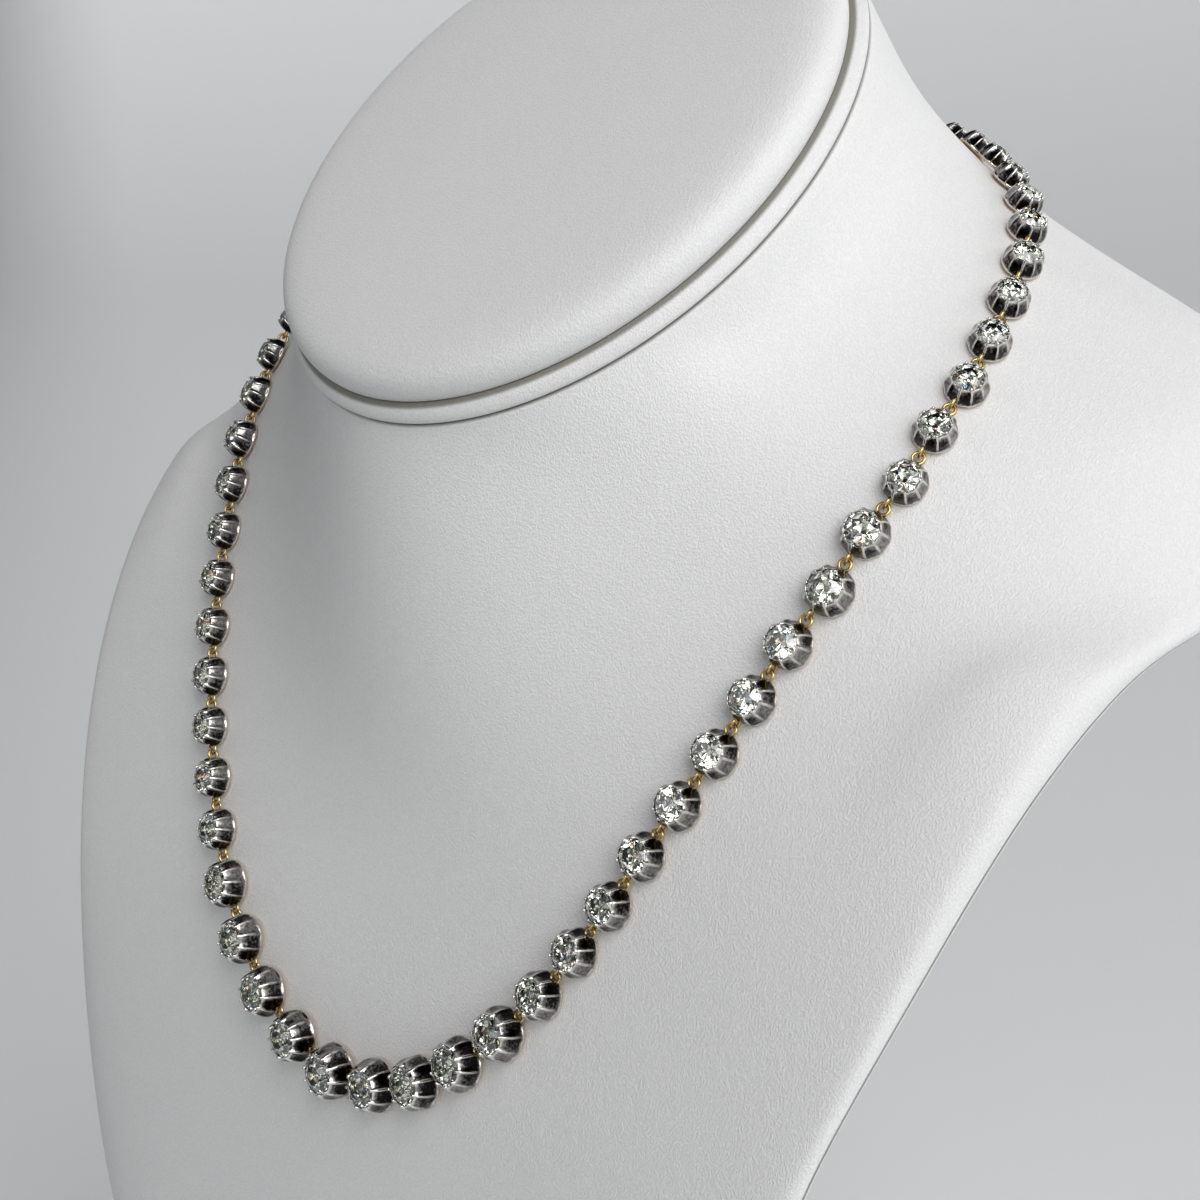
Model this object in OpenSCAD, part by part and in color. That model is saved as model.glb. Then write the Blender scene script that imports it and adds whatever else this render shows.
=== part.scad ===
// A graduated riviere necklace of stones in cut-down collets, lying on a plain neck bust.
// The bust faces -Y and stands on Z = 0, with the origin in the middle of its foot.

/* [Bust] */
// Height of the middle of the neck's slanted top edge above the foot
neck_top_h = 263.3; // [230:0.1:300]
// Width across the shoulders
shoulder_w = 178; // [150:1:210]
// Depth that the front and back of the body are shares of
body_d = 90; // [76:1:104]
// Width of the foot
foot_w = 106; // [90:1:130]
// Depth of the foot
foot_d = 86; // [70:1:104]
// Width of the neck at its top edge
neck_w = 83.2; // [74:0.1:92]
// Depth of the neck at its top edge, measured along the slant
neck_d = 86.4; // [76:0.1:96]
// Slant of the neck's top, low at the front
neck_slant = 43.6; // [38:0.1:48]
// How far the neck's top stands behind the middle of the foot
neck_back = 2.1; // [-4:0.1:8]

/* [Cap] */
// Thickness of the welt between neck and pad
welt_t = 2.3; // [1.6:0.1:3.2]
// How far the welt is drawn in from the neck's edge to the pad's seam
welt_draw_in = 1.4; // [0.8:0.1:2]
// Height of the cap pad above its seam
pad_h = 5.7; // [4:0.1:9]
// Width of the pad's rolled rim
pad_rim = 9; // [6:0.5:13]
// Gap between the covered pieces of the bust
cover_gap = 0.1; // [0.05:0.05:0.3]

/* [Stones and collets] */
// Diameter of the middle collet
middle_collet_d = 7.2; // [6:0.1:8]
// Height of a collet's claw tips, as a share of its diameter
claw_h = 0.55; // [0.5:0.01:0.65]
// Height of a collet's rim between the claws, as a share of its diameter
rim_h = 0.47; // [0.4:0.01:0.48]
// Diameter of a stone, as a share of its collet's
stone_d = 0.69; // [0.62:0.01:0.72]
// Gap between a stone and its collet
stone_gap = 0.11; // [0.1:0.01:0.15]
// Claws round a collet
claws = 10; // [8:1:12]

/* [Links] */
// Least gap between the edges of two collets
collet_gap = 1.7; // [1.6:0.01:2.1]
// Thickness of a ring's wire
wire_d = 0.42; // [0.36:0.01:0.46]
// Play between two interlocked rings
ring_play = 0.15; // [0.12:0.01:0.2]
// Gap between a collet's back and the bust
seat_gap = 0.3; // [0.2:0.05:0.5]

/* [Clasp] */
// Length of the clasp along the necklace
clasp_l = 8.6; // [6:0.1:12]
// Width of the clasp
clasp_w = 4; // [3:0.1:5]
// Thickness of the clasp
clasp_t = 2; // [1.8:0.1:2.6]

/* [Hidden] */

// Sections of the body from the foot up. way is the share of the way up the side. height, middle, front,
// bulge and back are shares of neck_top_h and body_d, half width one of half of shoulder_w. middle is the
// widest line's place behind the foot's middle, bulge the throat's swell, and the powers square the ends.
//            way    height  middle slant half w front  power bulge  back   power
body_rows = [[0.17,  0.190, -0.028,  0,   0.629, 0.450, 4.2,  0,     0.400, 3.0],
             [0.34,  0.380, -0.278,  0,   0.753, 0.206, 5.5,  0,     0.378, 1.8],
             [0.50,  0.570, -0.389,  0,   0.792, 0.039, 7.5,  0,     0.333, 1.5],
             [0.63,  0.703, -0.267,  0,   0.893, 0.039, 7.0,  0.022, 0.333, 1.5],
             [0.745, 0.813, -0.006,  2,   0.966, 0.150, 3.6,  0.189, 0.333, 1.6],
             [0.80,  0.847,  0.333,  3,   1.000, 0.494, 2.7,  0.178, 0.222, 2.6],
             [0.865, 0.919,  0.400, 13,   0.888, 0.583, 2.2,  0.167, 0.200, 2.0]];
foot_power = 4;
throat_half_w = 0.38 * shoulder_w / 2;  // reach of the throat's swell to each side
throat_fade = 4;      // how sharply the swell ends at the sides
// The neck's root, from the neck's top edge
root_way = 0.965;
root_drop = 7.3;
root_back = 8.4;
root_slant = 0.757;
root_flare = 1.1;      // half width and depths there, as shares of the top edge's
root_front = 0.98;
root_fill = 0.89;
root_bulge = 5.5;

function body_row(r) = [r[0], r[1] * neck_top_h, r[2] * body_d, r[3], r[4] * shoulder_w / 2,
                        r[5] * body_d, r[6], r[7] * body_d, r[8] * body_d, r[9]];
foot_row = [0, 0, 0, 0, foot_w / 2, foot_d / 2, foot_power, 0, foot_d / 2, foot_power];
root_row = [root_way, neck_top_h - root_drop, neck_back + root_back, neck_slant * root_slant,
            neck_w / 2 * root_flare, neck_d / 2 * root_front, 2, root_bulge, neck_d / 2 * root_fill, 2];
neck_row = [1, neck_top_h, neck_back, neck_slant, neck_w / 2, neck_d / 2, 2, 0, neck_d / 2, 2];
sections = concat([foot_row], [for (r = body_rows) body_row(r)], [root_row, neck_row]);

// The necklace's route over the bust, right half. at counts collets from the middle one, turn is the angle
// round the bust from its front, and way is as above.
//        at    turn   way
route = [[0,    0,     0.4985],
         [2,    13.3,  0.515],
         [4,    23.2,  0.554],
         [6,    29,    0.600],
         [8,    32.8,  0.648],
         [10,   36.2,  0.696],
         [12,   38.6,  0.750],
         [13,   38.9,  0.7945],
         [14,   41.5,  0.8265],
         [16,   54.2,  0.8845],
         [18,   74.8,  0.919],
         [20,   94,    0.933],
         [22,   114.8, 0.9375],
         [24,   131,   0.940],
         [26,   146,   0.939],
         [31.2, 180,   0.9315]];

// Diameters of the collets, as shares of the middle one's, by their number from the middle
grading = [[0, 1], [1, 0.95], [4, 0.92], [5, 0.82], [7, 0.785], [12, 0.775], [13, 0.795], [14, 0.785],
           [15, 0.715], [20, 0.665], [26, 0.575], [32, 0.55]];

around = 48;          // points round each section of the bust
route_steps = 420;    // samples along half of the route
nudge = 0.004;        // step in way for a surface's slope
turn_nudge = 1;       // step in turn for a surface's slope
wire_sunk = wire_d + 0.03;   // how deep a ring's wire sits in its collet's wall
ring_lift = 0.03;     // a standing ring's height over its collet's back

// A smooth curve through the rows of a table, by the value in their first column
function last_at(rows, t, i = 0) = i >= len(rows) - 2 || t < rows[i + 1][0] ? i : last_at(rows, t, i + 1);
function slope(rows, i) =
    let (a = rows[max(i - 1, 0)], b = rows[min(i + 1, len(rows) - 1)]) (b - a) / (b[0] - a[0]);
function smooth_at(rows, t) =
    let (i = last_at(rows, t), h = rows[i + 1][0] - rows[i][0], s = (t - rows[i][0]) / h)
    (2 * s^3 - 3 * s^2 + 1) * rows[i] + (s^3 - 2 * s^2 + s) * h * slope(rows, i)
    + (3 * s^2 - 2 * s^3) * rows[i + 1] + (s^3 - s^2) * h * slope(rows, i + 1);

// A point of a section at an angle from the front
function section_point(row, turn) =
    let (c = cos(turn), s = sin(turn), power = c > 0 ? row[6] : row[9],
         x = row[4] * s,
         reach = pow(max(1 - pow(abs(s), power), 0), 1 / power),
         swell = c > 0 ? row[7] * exp(-pow(x / throat_half_w, 2)) * min(1, throat_fade * c * c) : 0,
         along = (c > 0 ? -row[5] : row[8]) * reach - swell)
    [x, row[2] + along * cos(row[3]), row[1] + along * sin(row[3])];
function skin(turn, way) = section_point(smooth_at(sections, way), turn);
function skin_normal(turn, way) =
    let (across = skin(turn + turn_nudge, way) - skin(turn - turn_nudge, way),
         up = skin(turn, way + nudge) - skin(turn, way - nudge),
         n = cross(across, up))
    n / norm(n);

// Where the necklace lies
nape = route[len(route) - 1];
before_nape = route[len(route) - 2];
full_route = concat([[-route[1][0], -route[1][1], route[1][2]]], route,
                    [[2 * nape[0] - before_nape[0], 360 - before_nape[1], before_nape[2]]]);
function seat(at) =
    let (r = smooth_at(full_route, at), n = skin_normal(r[1], r[2]))
    [skin(r[1], r[2]) + n * seat_gap, n];
function chain_line(at, h) = let (s = seat(at)) s[0] + s[1] * h;
function collet_d(k) = middle_collet_d * lookup(k, grading);

// How many collets a side takes, and the gap that fits them to the route exactly
line_h = (collet_gap / 2 + wire_sunk + wire_d + ring_play / 2) / 2 + ring_lift;
line = [for (i = [0:route_steps]) chain_line(nape[0] * i / route_steps, line_h)];
run = [for (i = 0, s = 0; i <= route_steps; s = s + (i < route_steps ? norm(line[i + 1] - line[i]) : 0),
            i = i + 1) [s, nape[0] * i / route_steps]];
half_l = run[route_steps][0];
function metal_to(k) = k == 0 ? collet_d(0) / 2 : metal_to(k - 1) + collet_d(k);
function side_count(k = 1) =
    metal_to(k + 1) + (k + 2) * collet_gap + clasp_l / 2 > half_l ? k : side_count(k + 1);
side = side_count();
gap = (half_l - metal_to(side) - clasp_l / 2) / (side + 1);
ring_r = (gap / 2 + wire_sunk + wire_d + ring_play / 2) / 2;   // to the wire's outside
function along_route(k) =
    k == 0 ? 0 : lookup(k > side ? half_l - clasp_l / 2 : metal_to(k) - collet_d(k) / 2 + k * gap, run);

// The right half from the middle, each with its seat, its outward direction and its radius
half = [for (k = [0:side + 1])
        let (s = seat(along_route(k))) [s[0], s[1], k > side ? 0 : collet_d(k) / 2]];
function mirrored(p) = [-p[0], p[1], p[2]];
function flipped(c) = [mirrored(c[0]), mirrored(c[1]), c[2]];
chain = concat([for (k = [side:-1:1]) flipped(half[k])], [for (k = [0:side]) half[k]]);
clasp_ends = [half[side + 1], flipped(half[side + 1])];

// A closed skin over rings of points, the first ring at the bottom
module loft(rings) {
    n = len(rings[0]);
    m = len(rings);
    polyhedron(points = [for (r = rings) each r],
               faces = concat([[for (i = [0:n - 1]) i]],
                              [for (j = [0:m - 2], i = [0:n - 1])
                               [j * n + i, (j + 1) * n + i, (j + 1) * n + (i + 1) % n, j * n + (i + 1) % n]],
                              [[for (i = [n - 1:-1:0]) (m - 1) * n + i]]));
}

// A level of the slanted stack on the neck's top, drawn out or in from the neck's edge
stack_up = [0, -sin(neck_slant), cos(neck_slant)];
function stack_ring(h, draw_in) =
    [for (i = [0:around - 1])
     let (turn = 360 * i / around, along = -(neck_d / 2 - draw_in) * cos(turn))
     [(neck_w / 2 - draw_in) * sin(turn),
      neck_back + along * cos(neck_slant) + h * stack_up[1],
      neck_top_h + along * sin(neck_slant) + h * stack_up[2]]];

// Rings of the body's skin, close together where the neck grows out of the shoulders
low_rings = [for (w = [0:0.05:0.44]) w];
chest_rings = [for (w = [0.45:0.0375:0.74]) w];
neck_rings = [for (w = [0.75:0.0147:0.999]) w];

module bust() {
    color("whitesmoke")
        loft([for (way = concat(low_rings, chest_rings, neck_rings, [1]))
              [for (i = [0:around - 1]) skin(360 * i / around, way)]]);
}

//              height share, drawn in as a share of welt_draw_in
welt_levels = [[0, 0.3], [0.16, -0.04], [0.5, -0.1], [0.84, 0.36], [1, 0.8]];

module welt() {
    color("whitesmoke")
        loft([for (l = welt_levels) stack_ring(cover_gap + l[0] * welt_t, l[1] * welt_draw_in)]);
}

// The pad rolls over from its seam into a nearly flat top
//            height share, drawn in behind its widest line as a share of pad_rim
pad_levels = [[0, 0.035], [0.11, 0.006], [0.38, 0], [0.62, 0.085], [0.79, 0.29], [0.91, 0.8], [1, 3]];

module cap_pad() {
    foot = 2 * cover_gap + welt_t;
    color("whitesmoke")
        loft([for (l = pad_levels) stack_ring(foot + l[0] * pad_h, welt_draw_in + l[1] * pad_rim)]);
}

// A collet's outline by height: the groove's height and radius, then the claw's, as shares of its diameter
back_in = 0.03;
belly_h = 0.16;
groove_in = 0.035;
rim_wall = 0.13;      // metal outside a stone's seat
claw_out = 0.01;      // how far a claw's tip stands outside the rim
seat_floor_h = 0.16;
seat_floor_r = 0.26;

function turned(c, u, v, n, r, a, z) = c + u * r * cos(a) + v * r * sin(a) + n * z;

// One cut-down collet: c is the middle of its back, n points outwards and u along the necklace
module collet(c, u, n, d) {
    v = cross(n, u);
    step = 180 / claws;
    seat_r = (stone_d * d / 2 + stone_gap) / cos(step);   // the stone clears the seat's flats too
    rim_r = seat_r + rim_wall;
    outline = [[0, (0.5 - back_in - groove_in) * d, 0, (0.5 - back_in) * d],
               [belly_h * d, (0.5 - groove_in) * d, belly_h * d, 0.5 * d],
               [rim_h * d, rim_r, claw_h * d, rim_r + claw_out * d]];
    outer = [for (l = outline, i = [0:2 * claws - 1])
             turned(c, u, v, n, i % 2 == 0 ? l[3] : l[1], i * step, i % 2 == 0 ? l[2] : l[0])];
    inner = [for (l = [[seat_r, rim_h * d], [seat_floor_r * d, seat_floor_h * d]], i = [0:claws - 1])
             turned(c, u, v, n, l[0], (2 * i + 1) * step, l[1])];
    m = 2 * claws;
    rim = 2 * m;
    hole = 3 * m;
    polyhedron(points = concat(outer, inner),
               faces = concat([[for (i = [0:m - 1]) i]],
                              [for (j = [0:1], i = [0:m - 1]) each
                               [[j * m + i, (j + 1) * m + i, (j + 1) * m + (i + 1) % m],
                                [j * m + i, (j + 1) * m + (i + 1) % m, j * m + (i + 1) % m]]],
                              [for (i = [0:claws - 1]) each
                               [[rim + 2 * i, hole + (i + claws - 1) % claws, hole + i],
                                [rim + 2 * i, hole + i, rim + 2 * i + 1],
                                [rim + 2 * i + 1, hole + i, rim + (2 * i + 2) % m]]],
                              [for (i = [0:claws - 1]) each
                               [[hole + i, hole + claws + i, hole + claws + (i + 1) % claws],
                                [hole + i, hole + claws + (i + 1) % claws, hole + (i + 1) % claws]]],
                              [[for (i = [claws - 1:-1:0]) hole + claws + i]]));
}

// One stone: a table, eight crown facets and eight below
facets = 8;
table_r = 0.55;       // share of the stone's radius
crown_h = 0.13;       // shares of the collet's diameter
pavilion_h = 0.24;

module stone(c, u, n, d) {
    v = cross(n, u);
    r = stone_d * d / 2;
    girdle = [for (i = [0:facets - 1]) turned(c, u, v, n, r, 360 * i / facets, rim_h * d)];
    table = [for (i = [0:facets - 1])
             turned(c, u, v, n, r * table_r, 360 * i / facets, (rim_h + crown_h) * d)];
    polyhedron(points = concat([c + n * (rim_h - pavilion_h) * d], girdle, table),
               faces = concat([for (i = [0:facets - 1]) [0, 1 + i, 1 + (i + 1) % facets]],
                              [for (i = [0:facets - 1])
                               [1 + i, 1 + facets + i, 1 + facets + (i + 1) % facets, 1 + (i + 1) % facets]],
                              [[for (i = [facets - 1:-1:0]) 1 + facets + i]]));
}

// A round wire ring about an axis through its middle
module ring(middle, axis) {
    translate(middle)
        rotate([0, acos(axis[2]), atan2(axis[1], axis[0])])
        rotate_extrude($fn = 24)
        translate([ring_r - wire_d / 2, 0])
        circle(d = wire_d, $fn = 16);
}

// The ring soldered to the holder at from, reaching towards the holder at to, flat or standing
line_up = ring_r + ring_lift;
function unit(p) = p / norm(p);
module ring_towards(from, to, flat) {
    a = from[0] + from[1] * line_up;
    e = unit(to[0] + to[1] * line_up - a);
    up = unit(cross(cross(e, from[1] + to[1]), e));
    ring(a + e * (from[2] - wire_sunk + ring_r), flat ? up : cross(e, up));
}

last = len(chain) - 1;
function next_to(i) = i == last ? clasp_ends[0] : chain[i + 1];
function previous_to(i) = i == 0 ? clasp_ends[1] : chain[i - 1];
function along_at(i) =
    let (n = chain[i][1], e = next_to(i)[0] - previous_to(i)[0]) unit(e - n * (e * n));

module linked_collets(from, to) {
    for (i = [from:to]) {
        union() {
            collet(chain[i][0], along_at(i), chain[i][1], 2 * chain[i][2]);
            ring_towards(chain[i], next_to(i), true);
            ring_towards(chain[i], previous_to(i), false);
        }
    }
}

// The necklace's two halves as seen from the front, the middle collet on the right one
module left_collets() {
    color("silver")
        linked_collets(0, side - 1);
}

module right_collets() {
    color("silver")
        linked_collets(side, last);
}

module stones() {
    color("azure")
        for (i = [0:last]) stone(chain[i][0], along_at(i), chain[i][1], 2 * chain[i][2]);
}

module clasp() {
    middle = seat(nape[0]);
    ends = clasp_ends[0][0][0] - clasp_ends[1][0][0];
    color("goldenrod")
        union() {
            translate(middle[0] + middle[1] * clasp_t / 2)
                rotate([-atan2(middle[1][1], middle[1][2]), 0, 0])
                cube([ends, clasp_w, clasp_t], center = true);
            ring_towards(clasp_ends[0], chain[last], false);
            ring_towards(clasp_ends[1], chain[0], true);
        }
}

bust();
welt();
cap_pad();
left_collets();
right_collets();
stones();
clasp();
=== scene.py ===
import math
import bmesh
import bpy
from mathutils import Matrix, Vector


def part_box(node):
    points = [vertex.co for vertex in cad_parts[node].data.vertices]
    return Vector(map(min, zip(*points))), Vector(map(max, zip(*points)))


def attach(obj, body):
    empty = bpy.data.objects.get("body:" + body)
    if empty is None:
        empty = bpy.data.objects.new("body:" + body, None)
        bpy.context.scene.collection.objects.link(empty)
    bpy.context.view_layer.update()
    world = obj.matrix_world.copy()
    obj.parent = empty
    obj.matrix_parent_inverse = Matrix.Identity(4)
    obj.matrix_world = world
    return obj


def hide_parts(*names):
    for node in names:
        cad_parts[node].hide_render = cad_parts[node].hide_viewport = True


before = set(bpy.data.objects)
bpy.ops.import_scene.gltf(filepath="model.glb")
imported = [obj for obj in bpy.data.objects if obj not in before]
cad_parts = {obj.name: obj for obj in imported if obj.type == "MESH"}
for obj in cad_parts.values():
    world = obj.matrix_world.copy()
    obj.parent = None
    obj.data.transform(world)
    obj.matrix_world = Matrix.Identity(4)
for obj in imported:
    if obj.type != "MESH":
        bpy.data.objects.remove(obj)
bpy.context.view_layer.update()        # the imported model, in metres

mm = 0.001
weldWithin = 1e-6               # CAD points closer than this, in metres, are one
sharpEdge = math.radians(40)    # an edge that turns by more is bevelled, or on the clasp kept sharp
scene = bpy.context.scene


# Small helpers

def linearColour(hexCode):
    parts = [int(hexCode[i:i + 2], 16) / 255 for i in (1, 3, 5)]
    return [p / 12.92 if p <= 0.04045 else ((p + 0.055) / 1.055) ** 2.4 for p in parts] + [1.0]


def addNode(tree, kind, inputs=None, **settings):
    node = tree.nodes.new(kind)
    for name, value in settings.items():
        setattr(node, name, value)
    for name, value in (inputs or {}).items():
        if isinstance(value, bpy.types.NodeSocket):
            tree.links.new(value, node.inputs[name])
        else:
            node.inputs[name].default_value = value
    return node


def newMaterial(name):
    material = bpy.data.materials.new(name)
    material.use_nodes = True
    material.node_tree.nodes.clear()
    return material, material.node_tree


def finishMaterial(tree, shader):
    addNode(tree, "ShaderNodeOutputMaterial", {"Surface": shader.outputs[0]})


def newObject(name, mesh):
    thing = bpy.data.objects.new(name, mesh)
    scene.collection.objects.link(thing)
    return thing


def shadeSmooth(mesh, smooth=True):
    mesh.polygons.foreach_set("use_smooth", [smooth] * len(mesh.polygons))


def meshFrom(name, points, faces, smooth=True):
    mesh = bpy.data.meshes.new(name)
    mesh.from_pydata(points, [], faces)
    mesh.validate()
    mesh.update()
    shadeSmooth(mesh, smooth)
    return mesh


def ringWalls(rows, around, sinking=False, first=0):
    # four-sided faces that look out, between rings of points that climb, or with sinking go down or outwards
    faces = []
    for row in range(rows - 1):
        one = first + row * around
        two = one + around
        for i in range(around):
            j = (i + 1) % around
            faces.append((one + i, two + i, two + j, one + j) if sinking
                         else (one + i, one + j, two + j, two + i))
    return faces


def tubeFaces(rows, around, sinking=False):
    # such walls, with the first and the last ring closed by a face each
    start = tuple(range(around))
    end = tuple(range((rows - 1) * around, rows * around))
    ends = [start, end[::-1]] if sinking else [start[::-1], end]
    return ringWalls(rows, around, sinking) + ends


def plainMesh(thing, name):
    # the evaluated shape as a mesh of its own, in a new object with no modifiers
    bpy.context.view_layer.update()
    seen = thing.evaluated_get(bpy.context.evaluated_depsgraph_get())
    mesh = bpy.data.meshes.new_from_object(seen)
    mesh.name = name
    bpy.data.objects.remove(thing)
    return newObject(name, mesh)


def keepPiece(piece, slotName, *nodes):
    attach(piece, "root")
    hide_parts(*nodes)


# The stack on the neck's slanted top: which way it rises, and the height of its two seams along that way

neckSlant = math.radians(43.6)
stackUp = Vector((0, -math.sin(neckSlant), math.cos(neckSlant)))
weltHeights = [v.co.dot(stackUp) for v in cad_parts["welt"].data.vertices]
seamHeights = (min(weltHeights), max(weltHeights))


# Materials

# painted shade: the dark colour goes in the wrinkles' hollows, and the seam colour along the seams
leatheretteLook = {"light": "#f1f0f0", "paintedShade": "#eae9ea", "seam": "#8c8a83",
                   "wrinkle": 0.23 * mm, "stretch": 1.2, "relief": 0.06 * mm,
                   "fine": 0.14 * mm, "fineShare": 0.3,
                   "seamWide": 0.3 * mm,    # how far the welt's seams look dark, to each side
                   "sideWide": 0.4 * mm,    # the same for the bust's side seams
                   "grooveDeep": 4.0}       # the side seams' depth, in times the relief


def leatheretteMaterial():
    # White PU leatherette, embossed on a roller: a soft sheen over short wrinkles, with painted shade in the
    # wrinkles' hollows and along the seams
    look = leatheretteLook
    material, tree = newMaterial("whiteLeatherette")
    place = addNode(tree, "ShaderNodeTexCoord").outputs["Object"]
    drawn = addNode(tree, "ShaderNodeMapping", {"Vector": place, "Rotation": (0.35, 0.3, 0.0),
                                                "Scale": (1, 1, 1 / look["stretch"])})
    folds = addNode(tree, "ShaderNodeTexNoise", {"Vector": drawn.outputs[0], "Scale": 1 / look["wrinkle"],
                                                 "Detail": 1.0, "Roughness": 0.5, "Distortion": 0.2})
    fine = addNode(tree, "ShaderNodeTexNoise", {"Vector": place, "Scale": 1 / look["fine"], "Detail": 1.0})
    hill = addNode(tree, "ShaderNodeMapRange", {"Value": folds.outputs["Fac"], "From Min": 0.3,
                                                "From Max": 0.7}, interpolation_type="SMOOTHSTEP")
    height = addNode(tree, "ShaderNodeMix", {"Factor": look["fineShare"], "A": hill.outputs[0],
                                             "B": fine.outputs["Fac"]})
    # painted shade: the wrinkles' hollows come out a little darker than their tops
    grainWithShade = addNode(tree, "ShaderNodeMix", {"Factor": hill.outputs[0], "A": linearColour(look["paintedShade"]),
                                            "B": linearColour(look["light"])}, data_type="RGBA")
    # painted shade along the seams above and below the welt, placed by their height in the stack
    rise = addNode(tree, "ShaderNodeVectorMath", {0: place, 1: stackUp}, operation="DOT_PRODUCT")
    seams = []
    for level in seamHeights:
        past = addNode(tree, "ShaderNodeMath", {0: rise.outputs["Value"], 1: level}, operation="SUBTRACT")
        away = addNode(tree, "ShaderNodeMath", {0: past.outputs[0]}, operation="ABSOLUTE")
        paintedShade = addNode(tree, "ShaderNodeMapRange", {"Value": away.outputs[0], "From Max": look["seamWide"],
                                                    "To Min": 1.0, "To Max": 0.0},
                       interpolation_type="SMOOTHSTEP")
        seams.append(paintedShade.outputs[0])
    # the bust's side seams, sunk in the relief and darkened with painted shade: its skin says how far each
    # place is from the nearer one
    farOff = addNode(tree, "ShaderNodeAttribute", attribute_name="sideSeam").outputs["Fac"]
    groove = addNode(tree, "ShaderNodeMapRange", {"Value": farOff, "From Max": look["sideWide"],
                                                  "To Min": 1.0, "To Max": 0.0},
                     interpolation_type="SMOOTHSTEP").outputs[0]
    stack = addNode(tree, "ShaderNodeMath", {0: seams[0], 1: seams[1]}, operation="MAXIMUM")
    # where the seams' painted shade lies, over the grain
    seamShadeMask = addNode(tree, "ShaderNodeMath", {0: stack.outputs[0], 1: groove}, operation="MAXIMUM")
    depth = addNode(tree, "ShaderNodeMath", {0: groove, 1: look["grooveDeep"]}, operation="MULTIPLY")
    sunk = addNode(tree, "ShaderNodeMath", {0: height.outputs["Result"], 1: depth.outputs[0]},
                   operation="SUBTRACT")
    tone = addNode(tree, "ShaderNodeMix", {"Factor": seamShadeMask.outputs[0], "A": grainWithShade.outputs["Result"],
                                           "B": linearColour(look["seam"])}, data_type="RGBA")
    relief = addNode(tree, "ShaderNodeBump", {"Height": sunk.outputs[0], "Distance": look["relief"]})
    skin = addNode(tree, "ShaderNodeBsdfPrincipled", {"Base Color": tone.outputs["Result"], "Roughness": 0.5,
                                                      "IOR": 1.46, "Normal": relief.outputs[0]})
    finishMaterial(tree, skin)
    return material


silverLook = {"bright": "#e9e6e1", "dull": "#201c1d", "gilt": "#e2c6a6", "scratch": 0.35 * mm,
              "patchy": (-0.3, 0.12),   # what patches of wear take from the polish or add to it
              "rough": (0.2, 0.12),     # where it is dull, and where it is polished
              "dent": 0.02 * mm}


def silverMaterial():
    # Silver over gold, cut bright along the claws and edges and left darkened in the hollows
    look = silverLook
    material, tree = newMaterial("cutSilver")
    place = addNode(tree, "ShaderNodeTexCoord").outputs["Object"]
    polish = addNode(tree, "ShaderNodeAttribute", attribute_name="polish").outputs["Fac"]
    gilt = addNode(tree, "ShaderNodeAttribute", attribute_name="gilt").outputs["Fac"]
    wear = addNode(tree, "ShaderNodeTexNoise", {"Vector": place, "Scale": 1 / look["scratch"], "Detail": 4.0,
                                                "Roughness": 0.6})
    spread = addNode(tree, "ShaderNodeMapRange", {"Value": wear.outputs["Fac"], "From Min": 0.3,
                                                  "From Max": 0.7, "To Min": look["patchy"][0],
                                                  "To Max": look["patchy"][1]})
    shine = addNode(tree, "ShaderNodeMath", {0: polish, 1: spread.outputs[0]}, operation="ADD",
                    use_clamp=True)
    silver = addNode(tree, "ShaderNodeMix", {"Factor": shine.outputs[0], "A": linearColour(look["dull"]),
                                             "B": linearColour(look["bright"])}, data_type="RGBA")
    metal = addNode(tree, "ShaderNodeMix", {"Factor": gilt, "A": silver.outputs["Result"],
                                            "B": linearColour(look["gilt"])}, data_type="RGBA")
    gloss = addNode(tree, "ShaderNodeMapRange", {"Value": shine.outputs[0], "To Min": look["rough"][0],
                                                 "To Max": look["rough"][1]})
    dents = addNode(tree, "ShaderNodeBump", {"Height": wear.outputs["Fac"], "Distance": look["dent"],
                                             "Strength": 0.6})
    skin = addNode(tree, "ShaderNodeBsdfPrincipled", {"Base Color": metal.outputs["Result"], "Metallic": 1.0,
                                                      "Roughness": gloss.outputs[0],
                                                      "Normal": dents.outputs[0]})
    finishMaterial(tree, skin)
    return material


goldLook = {"bright": "#f3dca0", "deep": "#a98b54", "patch": 0.4 * mm,
            "rough": (0.3, 0.12)}   # in the deep patches and in the bright ones


def goldMaterial():
    # Old yellow gold wire, drawn and soldered: bright where it is worn, and deeper and duller in patches
    look = goldLook
    material, tree = newMaterial("yellowGold")
    place = addNode(tree, "ShaderNodeTexCoord").outputs["Object"]
    patch = addNode(tree, "ShaderNodeTexNoise", {"Vector": place, "Scale": 1 / look["patch"], "Detail": 3.0})
    tone = addNode(tree, "ShaderNodeMix", {"Factor": patch.outputs["Fac"], "A": linearColour(look["deep"]),
                                           "B": linearColour(look["bright"])}, data_type="RGBA")
    gloss = addNode(tree, "ShaderNodeMapRange", {"Value": patch.outputs["Fac"], "To Min": look["rough"][0],
                                                 "To Max": look["rough"][1]})
    skin = addNode(tree, "ShaderNodeBsdfPrincipled", {"Base Color": tone.outputs["Result"], "Metallic": 1.0,
                                                      "Roughness": gloss.outputs[0]})
    finishMaterial(tree, skin)
    return material


diamondLook = {"body": "#dddfd3", "fireBlue": "#8fb4ff", "fireOrange": "#ffb08a", "fireSpeck": 0.5 * mm,
               "fireBlueAbove": 0.975, "fireOrangeAbove": 0.98}   # the higher, the fewer specks have that colour


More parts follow.
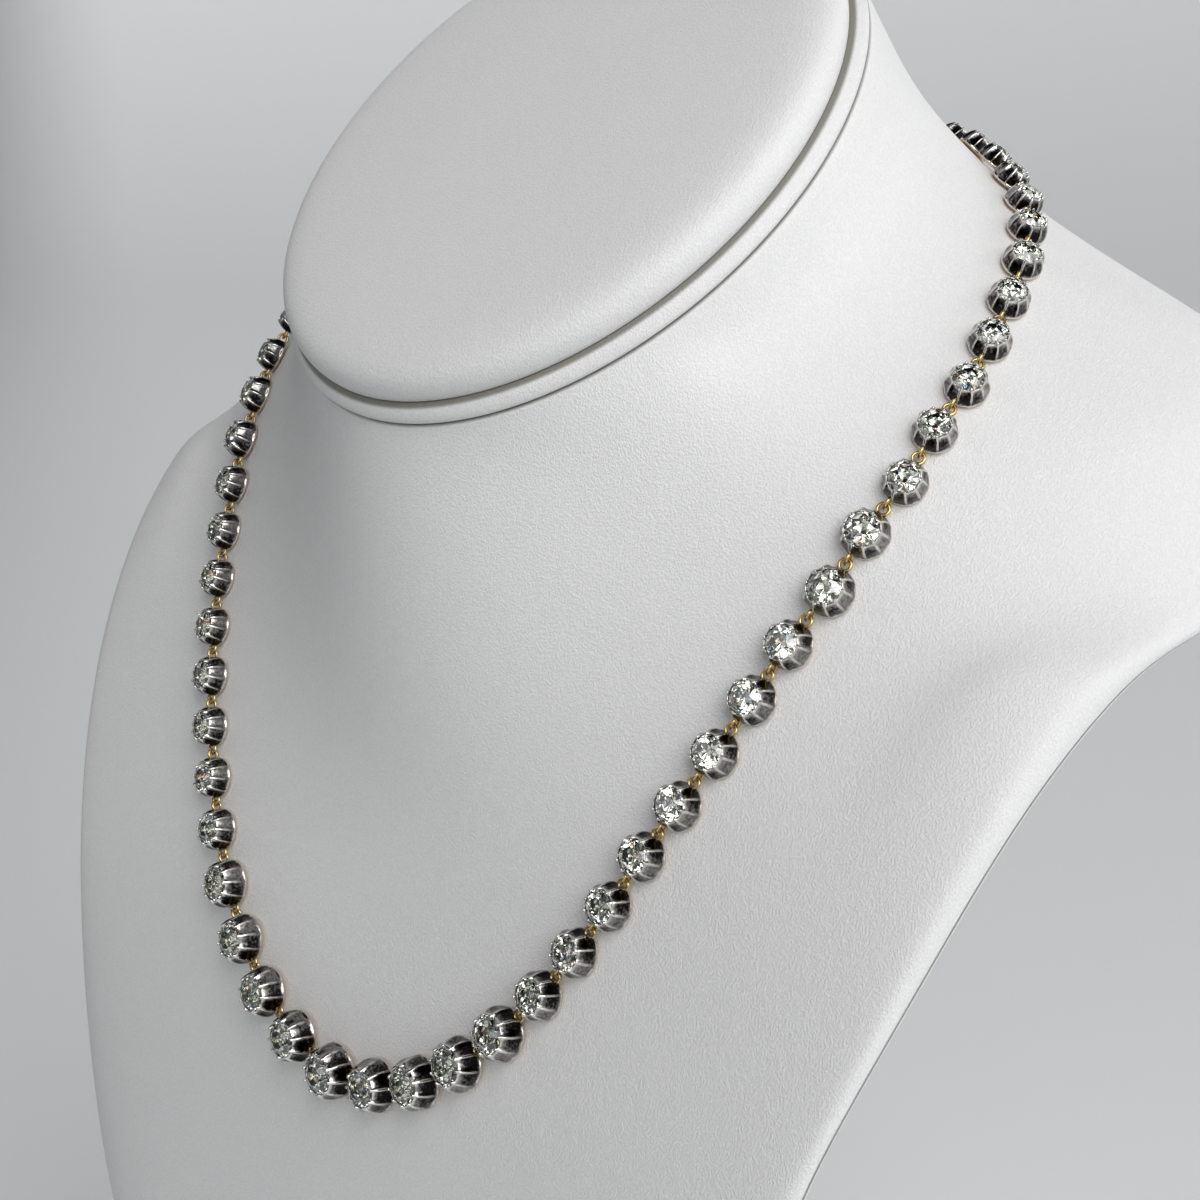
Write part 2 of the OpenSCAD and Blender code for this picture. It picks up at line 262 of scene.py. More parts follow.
def diamondMaterial():
    # Old-cut diamond, ground and polished: clear and faintly warm, with painted fire: specks tinted blue and
    # orange where the stone would split light into colours
    look = diamondLook
    material, tree = newMaterial("oldCutDiamond")
    place = addNode(tree, "ShaderNodeTexCoord").outputs["Object"]
    # painted fire: a few cells are tinted blue and orange, standing in for the colours the stone splits light
    # into
    cell = addNode(tree, "ShaderNodeTexVoronoi", {"Vector": place, "Scale": 1 / look["fireSpeck"]})
    pick = addNode(tree, "ShaderNodeSeparateColor", {"Color": cell.outputs["Color"]})
    fireBlue = addNode(tree, "ShaderNodeMath", {0: pick.outputs[0], 1: look["fireBlueAbove"]},
                   operation="GREATER_THAN")
    fireOrangeMask = addNode(tree, "ShaderNodeMath", {0: pick.outputs[1], 1: look["fireOrangeAbove"]},
                   operation="GREATER_THAN")
    first = addNode(tree, "ShaderNodeMix", {"Factor": fireBlue.outputs[0], "A": linearColour(look["body"]),
                                            "B": linearColour(look["fireBlue"])}, data_type="RGBA")
    second = addNode(tree, "ShaderNodeMix", {"Factor": fireOrangeMask.outputs[0], "A": first.outputs["Result"],
                                             "B": linearColour(look["fireOrange"])}, data_type="RGBA")
    skin = addNode(tree, "ShaderNodeBsdfPrincipled", {"Base Color": second.outputs["Result"],
                                                      "Roughness": 0.0, "IOR": 2.417,
                                                      "Transmission Weight": 1.0})
    finishMaterial(tree, skin)
    return material


leatherette = leatheretteMaterial()
silver = silverMaterial()
gold = goldMaterial()
diamond = diamondMaterial()
print("materials made")


# The bust, its welt and its cap pad: the CAD skins, subdivided and with their edges rounded off

bustShape = {"rimRound": 0.4 * mm, "weltRound": 0.3 * mm, "padRound": 0.1 * mm, "subdivided": 2,
             # the throat: how many rings from the top take part, how often each slides between its
             # neighbours, how much of the way, and how far round from the front, in degrees
             "neckRings": 19, "throatPasses": 60, "throatSlide": 0.5, "throatWide": 60,
             # the side seams start at this ring, just under the shoulders' widest place
             "seamBelow": 15,
             # a face belongs to a flat end if the cosine between their directions is above this
             "sameWay": 0.99995}


def ringsOf(nodeName, footWay):
    # a CAD skin is rings of points, each joined only to the next: walk them down from the flat top end
    shape = bmesh.new()
    shape.from_mesh(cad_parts[nodeName].data)
    bmesh.ops.remove_doubles(shape, verts=shape.verts, dist=weldWithin)
    shape.normal_update()
    for way in (footWay, stackUp):
        flat = [f for f in shape.faces if f.normal.dot(way) > bustShape["sameWay"]]
        end = bmesh.ops.dissolve_faces(shape, faces=flat)
    level = set(end["region"][0].verts)
    rings, seen = [], set()
    while level:
        seen |= level
        rings.append(inOrder(level))
        level = {e.other_vert(v) for v in level for e in v.link_edges} - seen
    shape.free()
    return rings


def inOrder(level):
    # from the front, round by the side where x is above 0
    loop = [min((v for v in level if abs(v.co.x) < weldWithin), key=lambda v: v.co.y)]
    left = level - set(loop)
    while left:
        beside = [o for o in (e.other_vert(loop[-1]) for e in loop[-1].link_edges) if o in left]
        loop.append(max(beside, key=lambda v: v.co.x) if len(loop) == 1 else beside[0])
        left.discard(loop[-1])
    return [v.co.copy() for v in loop]


def easeThroat(rings):
    # the neck's rings crowd together at the throat: let them slide apart there, and less towards the sides
    around, last = len(rings[0]), bustShape["neckRings"]
    reach = math.radians(bustShape["throatWide"])
    for i in range(around):
        turn = 2 * math.pi * min(i, around - i) / around
        slide = bustShape["throatSlide"] * math.cos(turn / reach * math.pi / 2) if turn < reach else 0.0
        for _ in range(bustShape["throatPasses"]):
            column = [ring[i] for ring in rings[:last + 1]]
            for k in range(1, last):
                rings[k][i] = column[k].lerp((column[k - 1] + column[k + 1]) / 2, slide)


def seamWays(rings, seamBelow):
    # how far each point lies from the nearer side seam, in metres
    outOfReach = 1.0   # metres, for the rings without a seam
    ways = []
    for k, ring in enumerate(rings):
        seams = [ring[len(ring) // 4], ring[3 * len(ring) // 4]]
        for point in ring:
            ways.append(min((point - seam).length for seam in seams) if k >= seamBelow else outOfReach)
    return ways


def softSkin(nodeName, pieceName, rings, edgeRound, seamBelow=math.inf):
    # rings joined by four-sided faces and subdivided, with the flat ends kept flat
    around, count = len(rings[0]), len(rings)
    mesh = meshFrom(pieceName, [point for ring in rings for point in ring],
                    tubeFaces(count, around, sinking=True))
    crease = mesh.attributes.new("crease_edge", "FLOAT", "EDGE")
    for e in mesh.edges:
        if max(e.vertices) < around or min(e.vertices) >= (count - 1) * around:
            crease.data[e.index].value = 1.0
    mesh.attributes.new("sideSeam", "FLOAT", "POINT").data.foreach_set("value", seamWays(rings, seamBelow))
    piece = newObject(pieceName, mesh)
    smooth = piece.modifiers.new("round", "SUBSURF")
    smooth.levels = smooth.render_levels = bustShape["subdivided"]
    edges = piece.modifiers.new("edges", "BEVEL")
    edges.width, edges.segments = edgeRound, 2
    edges.limit_method, edges.angle_limit = "ANGLE", sharpEdge
    piece = plainMesh(piece, pieceName)
    shadeSmooth(piece.data)
    piece.data.materials.append(leatherette)
    keepPiece(piece, "leatherette", nodeName)
    return piece


bustRings = ringsOf("bust", Vector((0, 0, -1)))
easeThroat(bustRings)
softSkin("bust", "bustBody", bustRings, bustShape["rimRound"], bustShape["seamBelow"])
softSkin("welt", "capWelt", ringsOf("welt", -stackUp), bustShape["weltRound"])
capPad = softSkin("cap_pad", "capPad", ringsOf("cap_pad", -stackUp), bustShape["padRound"])
print("bust made, from", len(bustRings), "rings of", len(bustRings[0]))


# The string: where each collet sits, read from the CAD stones

stringSize = {"stoneWidth": 0.69, "girdleHeight": 0.47,     # the CAD stones', as shares of a collet's width
              "girdlePoints": 8,
              "ringRadius": 0.8998 * mm, "wire": 0.42 * mm,
              "ringSides": 20, "wireSides": 8,
              "wireSunk": 0.45 * mm,        # how deep a ring's near side sits in its collet
              "ringLift": 0.03 * mm,        # how far a standing ring clears the plane of the collet's back
              "middleBehind": 5 * mm}       # the loop's middle, behind the middle of the foot


def looseParts(nodeName):
    # the points of each solid of a node that holds many, walked in the mesh's own order: each run is the same
    shape = bmesh.new()
    shape.from_mesh(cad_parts[nodeName].data)
    bmesh.ops.remove_doubles(shape, verts=shape.verts, dist=weldWithin)
    seen, parts = set(), []
    for start in shape.verts:
        if start in seen:
            continue
        seen.add(start)
        part = [start]
        for v in part:   # grows while it is walked
            for other in (e.other_vert(v) for e in v.link_edges):
                if other not in seen:
                    seen.add(other)
                    part.append(other)
        parts.append([v.co.copy() for v in part])
    shape.free()
    return parts


def seatOf(points):
    # a stone's girdle is its outermost points, and the next one in is its culet
    count = stringSize["girdlePoints"]
    middle = sum(points, Vector()) / len(points)
    ordered = sorted(points, key=lambda p: -(p - middle).length)
    girdle = sum(ordered[:count], Vector()) / count
    radius = sum((p - girdle).length for p in ordered[:count]) / count
    outward = (girdle - ordered[count]).normalized()
    width = 2 * radius / stringSize["stoneWidth"]
    return {"back": girdle - outward * stringSize["girdleHeight"] * width, "outward": outward,
            "width": width}


def roundTheNeck(seat):
    return math.atan2(seat["back"].x, stringSize["middleBehind"] - seat["back"].y)


seats = sorted((seatOf(part) for part in looseParts("stones")), key=roundTheNeck)
for i, seat in enumerate(seats):
    way = seats[(i + 1) % len(seats)]["back"] - seats[i - 1]["back"]
    seat["place"] = seat["back"]
    seat["along"] = (way - seat["outward"] * way.dot(seat["outward"])).normalized()
print("collets", len(seats), "widest", round(max(s["width"] for s in seats) / mm, 2))


# One collet as a mesh, one unit wide, standing on its back: ten claws, hollows cut down between them

colletShape = {"claws": 10,
               # half a claw's width at the back and at the rim, and the slope beside it, in degrees round
               "clawHalf": (1.5, 2.9), "flank": 1.7,
               # the points between: how far out on a claw, and how far from a hollow's side to its middle
               "clawStep": 0.55, "hollowStep": 0.58,
               # how far a hollow's sides stand out past its middle, and a claw's middle past its edges,
               # in which rows, and the share of it that the other rows have
               "scoop": 0.024, "rib": 0.007, "deepRows": range(5, 12), "shallow": 0.3,
               # how bright the hollows on the string's two sides are rubbed, and how soon that fades towards
               # the rings
               "wear": 0.36, "wearFade": 6,
               # height, radius over a claw, radius in a hollow, polish over a claw, polish in a hollow, gilt
               "rows": [(0.000, 0.455, 0.455, 1.0, 1.0, 1.0),
                        (0.010, 0.482, 0.482, 1.0, 1.0, 1.0),
                        (0.030, 0.494, 0.494, 1.0, 1.0, 0.7),
                        (0.052, 0.499, 0.498, 1.0, 1.0, 0.1),
                        (0.072, 0.498, 0.493, 0.9, 0.8, 0.0),
                        (0.088, 0.498, 0.470, 0.5, 0.2, 0.0),
                        (0.140, 0.500, 0.466, 0.35, 0.0, 0.0),
                        (0.210, 0.497, 0.460, 0.55, 0.0, 0.0),
                        (0.290, 0.483, 0.444, 0.8, 0.0, 0.0),
                        (0.370, 0.458, 0.416, 0.9, 0.1, 0.0),
                        (0.430, 0.432, 0.388, 1.0, 0.3, 0.0),
                        (0.462, 0.415, 0.376, 1.0, 0.8, 0.0),
                        (0.480, 0.405, 0.370, 1.0, 1.0, 0.0),
                        (0.490, 0.398, 0.366, 1.0, 1.0, 0.0)],
               # the claw's tip bends in over the stone: height and radius over a claw, then in a hollow
               "tip": [(0.520, 0.388, 0.488, 0.360), (0.546, 0.370, 0.486, 0.356),
                       (0.556, 0.352, 0.484, 0.354), (0.549, 0.334, 0.480, 0.354),
                       (0.528, 0.324, 0.476, 0.353)],
               # the seat under the stone, from the rim down: height and radius
               "inside": [(0.468, 0.355), (0.400, 0.319), (0.250, 0.205), (0.150, 0.060)]}


def colletMesh():
    shape = colletShape
    pitch = 360 / shape["claws"]
    rimHeight = shape["rows"][-1][0]
    points, polish, gilt = [], [], []

    def across(height):
        # the ten places across one claw and half a hollow on each side: degrees from the claw's middle, and
        # the depth of the hollow there, from 0 at its side to 1 in its middle, or None on the claw
        thin, thick = shape["clawHalf"]
        claw = thin + (thick - thin) * min(height / rimHeight, 1)
        side = claw + shape["flank"]
        deep = side + shape["hollowStep"] * (pitch / 2 - side)
        right = [(shape["clawStep"] * claw, None), (claw, None), (side, 0.0), (deep, shape["hollowStep"])]
        return [(-pitch / 2, 1.0)] + [(-a, d) for a, d in reversed(right)] + [(0.0, None)] + right

    def addRow(clawAt, hollowAt, clawPolish, hollowPolish, rowGilt, depth):
        places = across(clawAt[0])
        clawEdge = places[3][0]
        for claw in range(shape["claws"]):
            for offset, deep in places:
                height, radius = clawAt if deep is None else hollowAt
                if deep is None:
                    radius += shape["rib"] * depth * (1 - (offset / clawEdge) ** 2)
                else:
                    radius += shape["scoop"] * depth * (1 - deep) ** 2
                a = math.radians(claw * pitch + offset)
                points.append((radius * math.cos(a), radius * math.sin(a), height))
                rubbed = shape["wear"] * math.sin(a) ** shape["wearFade"] * (1 - hollowPolish)
                polish.append(clawPolish if deep is None else hollowPolish + rubbed)
                gilt.append(rowGilt)

    for number, (z, clawR, hollowR, clawPolish, hollowPolish, rowGilt) in enumerate(shape["rows"]):
        depth = 1.0 if number in shape["deepRows"] else shape["shallow"]
        addRow((z, clawR), (z, hollowR), clawPolish, hollowPolish, rowGilt, depth)
    for z, r, hollowZ, hollowR in shape["tip"]:
        addRow((z, r), (hollowZ, hollowR), 1.0, 1.0, 0.0, 0.0)
    for z, r in shape["inside"]:
        addRow((z, r), (z, r), 1.0, 1.0, 0.0, 0.0)
    around = shape["claws"] * len(across(0))
    mesh = meshFrom("colletMaster", points, tubeFaces(len(points) // around, around))
    for name, values in (("polish", polish), ("gilt", gilt)):
        mesh.attributes.new(name, "FLOAT", "POINT").data.foreach_set("value", values)
    return mesh


# One stone, one collet wide: table, stars, kites and girdle, and an old cut's open culet

stoneShape = {"radius": 0.347, "girdle": stringSize["girdleHeight"], "band": 0.008, "table": 0.53,
              "crown": 0.118, "starAt": 0.76, "pavilion": 0.298, "lowerAt": 0.7, "culet": 0.08,
              "turned": 0.39, "seed": 11}   # each stone is turned in its seat by up to turned, in radians


def stoneMesh():
    shape = stoneShape
    r, band = shape["radius"], shape["band"]
    eighth, sixteenth = 360 / 8, 360 / 16
    points, faces = [], []

    def put(share, turn, height):
        a = math.radians(turn)
        points.append((share * r * math.cos(a), share * r * math.sin(a), shape["girdle"] + height))
        return len(points) - 1

    lean = math.cos(math.radians(sixteenth))
    table = [put(shape["table"], eighth * k, shape["crown"]) for k in range(8)]
    starHeight = shape["crown"] * (1 - shape["starAt"] * lean) / (1 - shape["table"])
    stars = [put(shape["starAt"], eighth * k + sixteenth, starHeight) for k in range(8)]
    upper = [put(1, sixteenth * k, band) for k in range(16)]
    lower = [put(1, sixteenth * k, -band) for k in range(16)]
    waistDrop = shape["pavilion"] * (1 - shape["lowerAt"] * lean)
    waist = [put(shape["lowerAt"], eighth * k + sixteenth, -waistDrop) for k in range(8)]
    culetDrop = shape["pavilion"] * (1 - shape["culet"] * lean)
    culet = [put(shape["culet"], eighth * k + sixteenth, -culetDrop) for k in range(8)]
    faces.append(tuple(table))
    for k in range(8):
        after, before = (k + 1) % 8, (k - 1) % 8
        faces.append((table[k], stars[k], table[after]))
        faces.append((table[k], stars[before], upper[2 * k], stars[k]))
        faces.append((stars[k], upper[2 * k], upper[2 * k + 1]))
        faces.append((stars[k], upper[2 * k + 1], upper[(2 * k + 2) % 16]))
        faces.append((lower[2 * k], waist[before], culet[before], culet[k], waist[k]))
        faces.append((lower[2 * k], waist[k], lower[2 * k + 1]))
        faces.append((lower[2 * k + 1], waist[k], lower[(2 * k + 2) % 16]))
    for i in range(16):
        faces.append((upper[i], lower[i], lower[(i + 1) % 16], upper[(i + 1) % 16]))
    faces.append(tuple(reversed(culet)))
    return meshFrom("stoneMaster", points, faces, smooth=False)


# Geometry Nodes trees: one puts a master shape on each seat, the other bends a wire ring at each

def newTree(name, inputs):
    tree = bpy.data.node_groups.new(name, "GeometryNodeTree")
    tree.interface.new_socket("Geometry", in_out="INPUT", socket_type="NodeSocketGeometry")
    tree.interface.new_socket("Geometry", in_out="OUTPUT", socket_type="NodeSocketGeometry")
    for label, kind in inputs:
        tree.interface.new_socket(label, in_out="INPUT", socket_type=kind)
    return tree, addNode(tree, "NodeGroupInput")


def turnToSeat(tree):
    # z is turned to the seat's outward way, then x along the string
    outward = addNode(tree, "GeometryNodeInputNamedAttribute", {"Name": "outward"}, data_type="FLOAT_VECTOR")
    along = addNode(tree, "GeometryNodeInputNamedAttribute", {"Name": "along"}, data_type="FLOAT_VECTOR")
    up = addNode(tree, "FunctionNodeAlignRotationToVector", {"Vector": outward.outputs["Attribute"]},
                 axis="Z")
    return addNode(tree, "FunctionNodeAlignRotationToVector", {"Rotation": up.outputs["Rotation"],
                                                               "Vector": along.outputs["Attribute"]},
                   axis="X", pivot_axis="Z").outputs["Rotation"]


def closeTree(tree, made, source):
    real = addNode(tree, "GeometryNodeRealizeInstances", {"Geometry": made})
    dressed = addNode(tree, "GeometryNodeSetMaterial", {"Geometry": real.outputs[0],
                                                        "Material": source.outputs["Material"]})
    addNode(tree, "NodeGroupOutput", {"Geometry": dressed.outputs[0]})


def seatTree():
    tree, source = newTree("setOnSeats", [("Shape", "NodeSocketObject"), ("Turn jitter", "NodeSocketFloat"),
                                          ("Seed", "NodeSocketInt"), ("Material", "NodeSocketMaterial")])
    jitter = source.outputs["Turn jitter"]
    wide = addNode(tree, "GeometryNodeInputNamedAttribute", {"Name": "width"}, data_type="FLOAT")
    less = addNode(tree, "ShaderNodeMath", {0: 0.0, 1: jitter}, operation="SUBTRACT")
    spin = addNode(tree, "FunctionNodeRandomValue", {"Min": less.outputs[0], "Max": jitter,
                                                     "Seed": source.outputs["Seed"]}, data_type="FLOAT")
    flat = addNode(tree, "ShaderNodeCombineXYZ", {"Z": spin.outputs["Value"]})
    local = addNode(tree, "FunctionNodeEulerToRotation", {"Euler": flat.outputs[0]})
    turned = addNode(tree, "FunctionNodeRotateRotation", {"Rotation": turnToSeat(tree),
                                                          "Rotate By": local.outputs[0]},
                     rotation_space="LOCAL")
    shape = addNode(tree, "GeometryNodeObjectInfo", {"Object": source.outputs["Shape"]})
    made = addNode(tree, "GeometryNodeInstanceOnPoints", {"Points": source.outputs["Geometry"],
                                                          "Instance": shape.outputs["Geometry"],
                                                          "Rotation": turned.outputs[0],
                                                          "Scale": wide.outputs["Attribute"]})
    closeTree(tree, made.outputs[0], source)
    return tree


def ringTree():
    tree, source = newTree("wireRings", [("Ring radius", "NodeSocketFloat"),
                                         ("Wire radius", "NodeSocketFloat"),
                                         ("Material", "NodeSocketMaterial")])
    path = addNode(tree, "GeometryNodeCurvePrimitiveCircle", {"Resolution": stringSize["ringSides"],
                                                              "Radius": source.outputs["Ring radius"]})
    wire = addNode(tree, "GeometryNodeCurvePrimitiveCircle", {"Resolution": stringSize["wireSides"],
                                                              "Radius": source.outputs["Wire radius"]})
    ring = addNode(tree, "GeometryNodeCurveToMesh", {"Curve": path.outputs[0],
                                                     "Profile Curve": wire.outputs[0]})
    made = addNode(tree, "GeometryNodeInstanceOnPoints", {"Points": source.outputs["Geometry"],
                                                          "Instance": ring.outputs[0],
                                                          "Rotation": turnToSeat(tree)})
    closeTree(tree, made.outputs[0], source)
    return tree


def runTree(name, tree, points, **values):
    # points: a dictionary each, with a place, the ways outward and along, and the width of what goes there
    mesh = bpy.data.meshes.new(name + "Seats")
    mesh.from_pydata([p["place"] for p in points], [], [])
    for label in ("outward", "along"):
        mesh.attributes.new(label, "FLOAT_VECTOR", "POINT").data.foreach_set(
            "vector", [c for p in points for c in p[label]])
    mesh.attributes.new("width", "FLOAT", "POINT").data.foreach_set("value", [p["width"] for p in points])
    thing = newObject(name, mesh)
    nodes = thing.modifiers.new("make", "NODES")
    nodes.node_group = tree
    for item in tree.interface.items_tree:
        if item.item_type == "SOCKET" and item.in_out == "INPUT" and item.name in values:
            nodes[item.identifier] = values[item.name]
    return plainMesh(thing, name)


# The clasp at the nape: end is where the ring on its +x end starts, and outward the way off the bust there
claspShape = {"end": Vector((4.25615, 48.2328, 265.194)) * mm, "outward": Vector((0.0445, 0.9177, 0.3948)),
              "width": 4 * mm, "thickness": 2 * mm, "length": 8.512 * mm, "edge": 0.45 * mm,
              "cornerSteps": 4, "slot": 0.16 * mm, "slotAt": 2.4 * mm, "slotDeep": 0.2 * mm,
              # shares: where the end's rounding has its middle point, and how deep the slot's lip lies
              "roundMiddle": 0.3, "slotLip": 0.2}


def claspEnd(side):
    # where a ring starts at one end of the clasp, as a seat
    end, outward = claspShape["end"], claspShape["outward"]
    return {"back": Vector((side * end.x, end.y, end.z)), "width": 0.0,
            "outward": Vector((side * outward.x, outward.y, outward.z)).normalized()}


def ringSeat(start, target, lying):
    # the ring soldered to start, reaching towards target: lying flat, or standing up through a lying one
    outer = stringSize["ringRadius"]
    height = outer + stringSize["ringLift"]
    foot = start["back"] + start["outward"] * height
    way = (target["back"] + target["outward"] * height - foot).normalized()
    up = way.cross(start["outward"] + target["outward"]).cross(way).normalized()
    middle = foot + way * (start["width"] / 2 - stringSize["wireSunk"] + outer)
    return {"place": middle, "outward": up if lying else way.cross(up).normalized(), "along": way,
            "width": 1.0}


collet = newObject("colletMaster", colletMesh())
stone = newObject("stoneMaster", stoneMesh())
setOnSeats, wireRings = seatTree(), ringTree()
half = len(seats) // 2
ringSizes = {"Ring radius": stringSize["ringRadius"] - stringSize["wire"] / 2,
             "Wire radius": stringSize["wire"] / 2, "Material": gold}

for sideName, nodeName, share in (("left", "left_collets", range(0, half)),
                                  ("right", "right_collets", range(half, len(seats)))):
    settings = runTree(sideName + "Settings", setOnSeats, [seats[i] for i in share],
                       **{"Shape": collet, "Turn jitter": 0.0, "Material": silver})
    keepPiece(settings, "silver", nodeName)
    ringSeats = []
    for i in share:
        after = seats[i + 1] if i + 1 < len(seats) else claspEnd(1)
        before = seats[i - 1] if i > 0 else claspEnd(-1)
        ringSeats += [ringSeat(seats[i], after, True), ringSeat(seats[i], before, False)]
    rings = runTree(sideName + "Rings", wireRings, ringSeats, **ringSizes)
    shadeSmooth(rings.data)
    keepPiece(rings, "gold", nodeName)

diamonds = runTree("diamonds", setOnSeats, seats,
                   **{"Shape": stone, "Turn jitter": stoneShape["turned"], "Seed": stoneShape["seed"],
                      "Material": diamond})
keepPiece(diamonds, "diamond", "stones")
for master in (collet, stone):
    bpy.data.objects.remove(master)
print("string made")


# The clasp: a box with rounded edges, the slot of its tongue, and a ring at each end

def claspProfile():
    # places along the box from end to end, and how far its sides are drawn in there
    size = claspShape
    half, edge, wide, deep = size["length"] / 2, size["edge"], size["slot"] / 2, size["slotDeep"]
    mid, lip = size["roundMiddle"] * edge, size["slotLip"] * deep
    rounding = [(0, edge), (mid, mid), (edge, 0)]
    slot = [(-2 * wide, 0), (-wide, lip), (-wide, deep), (wide, deep), (wide, lip), (2 * wide, 0)]
    return ([(-half + x, drawn) for x, drawn in rounding] +
            [(size["slotAt"] + x, drawn) for x, drawn in slot] +
            [(half - x, drawn) for x, drawn in reversed(rounding)])


def claspBox():
    size = claspShape
    low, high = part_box("clasp")
    middle = (Vector(low) + Vector(high)) / 2
    outward = Vector((0, size["outward"].y, size["outward"].z)).normalized()
    across = outward.cross(Vector((1, 0, 0))).normalized()
    turns = [math.radians(90 * k / size["cornerSteps"]) for k in range(size["cornerSteps"] + 1)]
    corner = [(math.cos(turn), math.sin(turn)) for turn in turns]
    r = size["edge"]
    points = []
    for x, drawn in claspProfile():
        w, t = size["width"] / 2 - drawn, size["thickness"] / 2 - drawn
        for signY, signZ, order in ((1, 1, 1), (-1, 1, -1), (-1, -1, 1), (1, -1, -1)):
            for c, s in corner[::order]:
                y, z = signY * (w - r + r * c), signZ * (t - r + r * s)
                points.append(middle + Vector((x, 0, 0)) + across * y + outward * z)
    return meshFrom("claspBox", points, tubeFaces(len(claspProfile()), 4 * len(corner)))


claspRings = runTree("claspRings", wireRings, [ringSeat(claspEnd(1), seats[-1], False),
                                               ringSeat(claspEnd(-1), seats[0], True)], **ringSizes)
clasp = newObject("claspWithRings", claspBox())
clasp.data.materials.append(gold)
joined = bmesh.new()
for part in (clasp, claspRings):
    joined.from_mesh(part.data)
bmesh.ops.recalc_face_normals(joined, faces=joined.faces)
joined.to_mesh(clasp.data)
joined.free()
bpy.data.objects.remove(claspRings)
shadeSmooth(clasp.data)
clasp.data.set_sharp_from_angle(angle=sharpEdge)
keepPiece(clasp, "gold", "clasp")
print("clasp made")


# Stage, light and camera

# the shade colour is the floor's painted shade, on the side away from paleSide
stageLook = {"paintedFloorShade": "#727678", "pale": "#f8fafb",
             "paleSide": (0.5, 0.87, 0.0), "paleFrom": -0.5, "paleTo": 0.0,    # metres along that way
             "rings": (0.25, 0.5, 1.0, 1.5), "flat": 2.0, "sides": 96,         # radii in metres
             "bend": 3.0, "bendTo": 54, "bendSteps": 12}    # the bend's radius, and how many degrees it turns


def paintedFloor():
    # Painted studio floor, matt and plain: pale, with painted shade darkening the side that lies left in the
    # view
    look = stageLook
    material, tree = newMaterial("paintedFloor")
    place = addNode(tree, "ShaderNodeTexCoord").outputs["Object"]
    # painted shade: the floor goes from pale to the shade colour away from paleSide
    side = addNode(tree, "ShaderNodeVectorMath", {0: place, 1: look["paleSide"]}, operation="DOT_PRODUCT")
    paler = addNode(tree, "ShaderNodeMapRange", {"Value": side.outputs["Value"],
                                                 "From Min": look["paleFrom"], "From Max": look["paleTo"]},
                    interpolation_type="SMOOTHSTEP")
    tone = addNode(tree, "ShaderNodeMix", {"Factor": paler.outputs[0], "A": linearColour(look["paintedFloorShade"]),
                                           "B": linearColour(look["pale"])}, data_type="RGBA")
    skin = addNode(tree, "ShaderNodeBsdfPrincipled", {"Base Color": tone.outputs["Result"], "Roughness": 0.9})
    finishMaterial(tree, skin)
    return material


def stageFloor():
    # a round floor that bends up far away, so that it has no edge in any view
    size = stageLook
    around = size["sides"]
    rings = [(r, 0.0) for r in (*size["rings"], size["flat"])]
    for k in range(1, size["bendSteps"] + 1):
        a = math.radians(size["bendTo"] * k / size["bendSteps"])
        rings.append((size["flat"] + size["bend"] * math.sin(a), size["bend"] * (1 - math.cos(a))))
    turns = [2 * math.pi * i / around for i in range(around)]
    points = [(0, 0, 0)] + [(r * math.cos(a), r * math.sin(a), z) for r, z in rings for a in turns]
    faces = [(0, 1 + i, 1 + (i + 1) % around) for i in range(around)]
    faces += ringWalls(len(rings), around, sinking=True, first=1)
    floor = newObject("stageFloor", meshFrom("stageFloor", points, faces))
    floor.data.materials.append(paintedFloor())


lightLook = {"sky": "#d8d9d8", "ceiling": "#1d1e20", "duskFrom": 0.3, "duskTo": 0.7,    # heights, 1 overhead
             "skyStrength": 2.0, "brightSide": (0.75, 0.66, 0.0), "sideRange": (0.5, 1.5),
             "sunPower": 0.8, "sunAngle": 40, "sunWay": (0.56, -0.18, 0.74),
             "softboxPower": 1.6, "softboxWide": 0.5, "softboxWay": (0.71, -0.41, 0.57),
             "softboxFar": 0.7, "softboxAim": (0.0, 0.0, 0.2)}


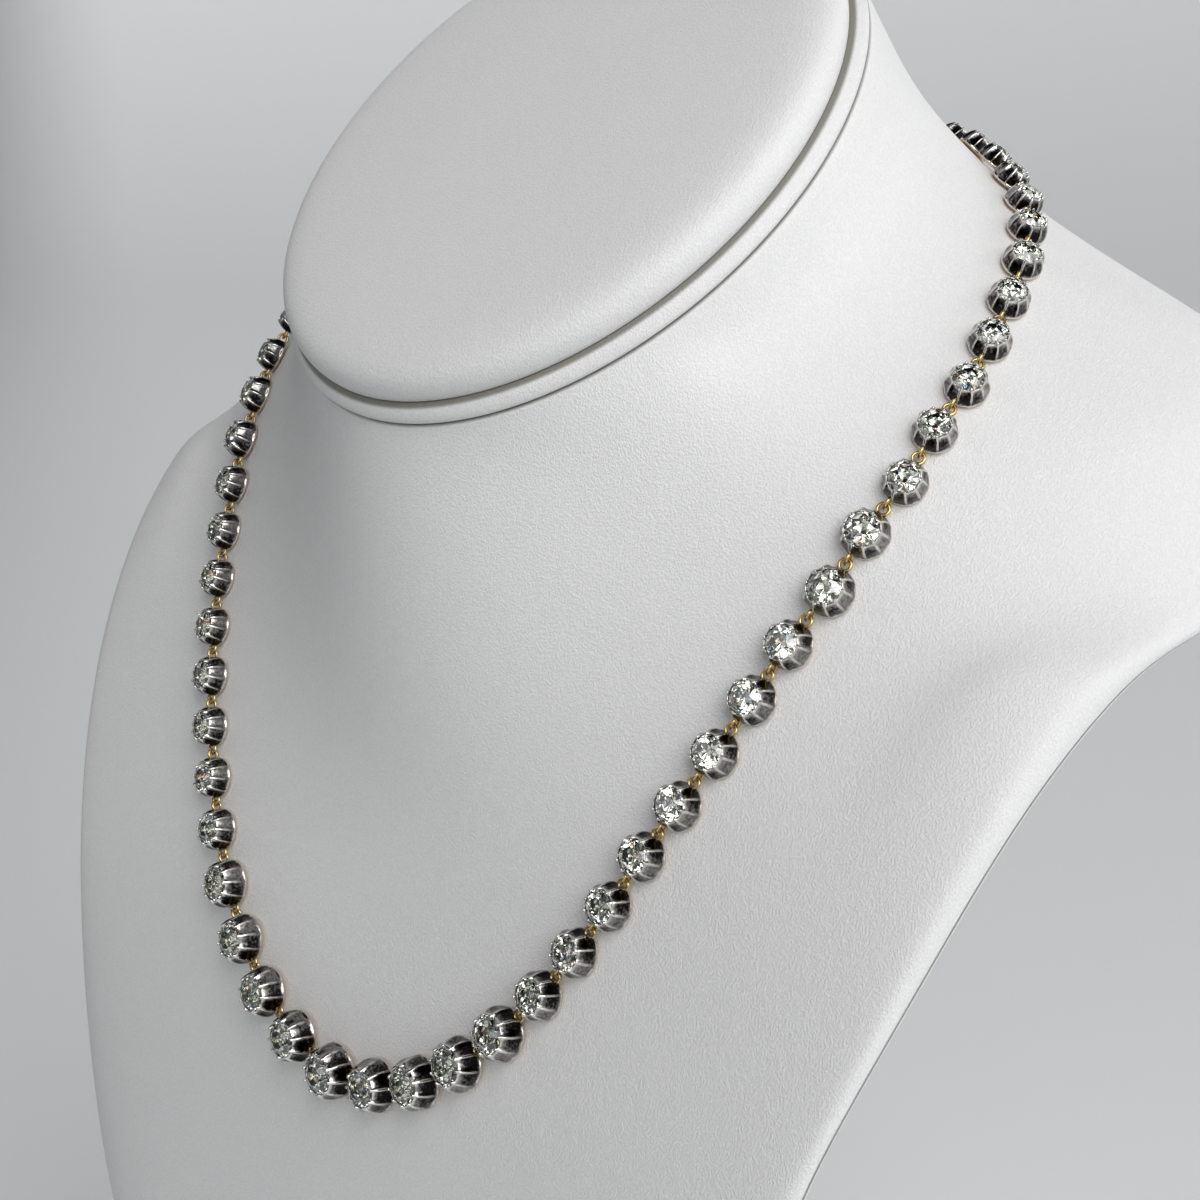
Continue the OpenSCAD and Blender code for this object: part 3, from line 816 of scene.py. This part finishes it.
def studioSky():
    # pale all round and dark overhead, and brighter on one side than on the other
    look = lightLook
    world = bpy.data.worlds.new("studio")
    world.use_nodes = True
    scene.world = world
    tree = world.node_tree
    tree.nodes.clear()
    way = addNode(tree, "ShaderNodeTexCoord").outputs["Generated"]
    rise = addNode(tree, "ShaderNodeSeparateXYZ", {"Vector": way})
    dusk = addNode(tree, "ShaderNodeMapRange", {"Value": rise.outputs["Z"], "From Min": look["duskFrom"],
                                                "From Max": look["duskTo"]})
    sky = addNode(tree, "ShaderNodeMix", {"Factor": dusk.outputs[0], "A": linearColour(look["sky"]),
                                          "B": linearColour(look["ceiling"])}, data_type="RGBA")
    side = addNode(tree, "ShaderNodeVectorMath", {0: way, 1: look["brightSide"]}, operation="DOT_PRODUCT")
    power = addNode(tree, "ShaderNodeMapRange", {"Value": side.outputs["Value"],
                                                 "From Min": -1.0, "From Max": 1.0,
                                                 "To Min": look["skyStrength"] * look["sideRange"][0],
                                                 "To Max": look["skyStrength"] * look["sideRange"][1]})
    glow = addNode(tree, "ShaderNodeBackground", {"Color": sky.outputs["Result"],
                                                  "Strength": power.outputs[0]})
    addNode(tree, "ShaderNodeOutputWorld", {"Surface": glow.outputs[0]})


def addLight(name, kind, way, power):
    # way points from what is lit to the light
    light = bpy.data.objects.new(name, bpy.data.lights.new(name, kind))
    light.data.energy = power
    light.rotation_euler = way.to_track_quat("Z", "Y").to_euler()
    scene.collection.objects.link(light)
    return light


stageFloor()
studioSky()
sun = addLight("sun", "SUN", Vector(lightLook["sunWay"]), lightLook["sunPower"])
sun.data.angle = math.radians(lightLook["sunAngle"])

# a softbox close by on the right, so that the light falls off towards the bust's left and foot
boxWay = Vector(lightLook["softboxWay"]).normalized()
softbox = addLight("softbox", "AREA", boxWay, lightLook["softboxPower"])
softbox.data.shape, softbox.data.size = "DISK", lightLook["softboxWide"]
softbox.location = Vector(lightLook["softboxAim"]) + boxWay * lightLook["softboxFar"]
softbox.visible_camera = False

cameraLook = {"place": (182.3 * mm, -166.8 * mm, 278.0 * mm), "turn": 46.2, "down": 16.4,
              "lens": 57.15, "sensor": 36}   # turn and down in degrees, lens and sensor in millimetres


def aimCamera():
    turn, down = math.radians(cameraLook["turn"]), math.radians(cameraLook["down"])
    look = Vector((-math.sin(turn) * math.cos(down), math.cos(turn) * math.cos(down), -math.sin(down)))
    camera = bpy.data.objects.new("camera", bpy.data.cameras.new("camera"))
    camera.data.sensor_width, camera.data.lens = cameraLook["sensor"], cameraLook["lens"]
    camera.data.clip_start = 0.01
    camera.location = cameraLook["place"]
    camera.rotation_euler = look.to_track_quat("-Z", "Y").to_euler()
    scene.collection.objects.link(camera)
    scene.camera = camera


aimCamera()
scene.view_settings.view_transform = "Standard"
print("stage made")
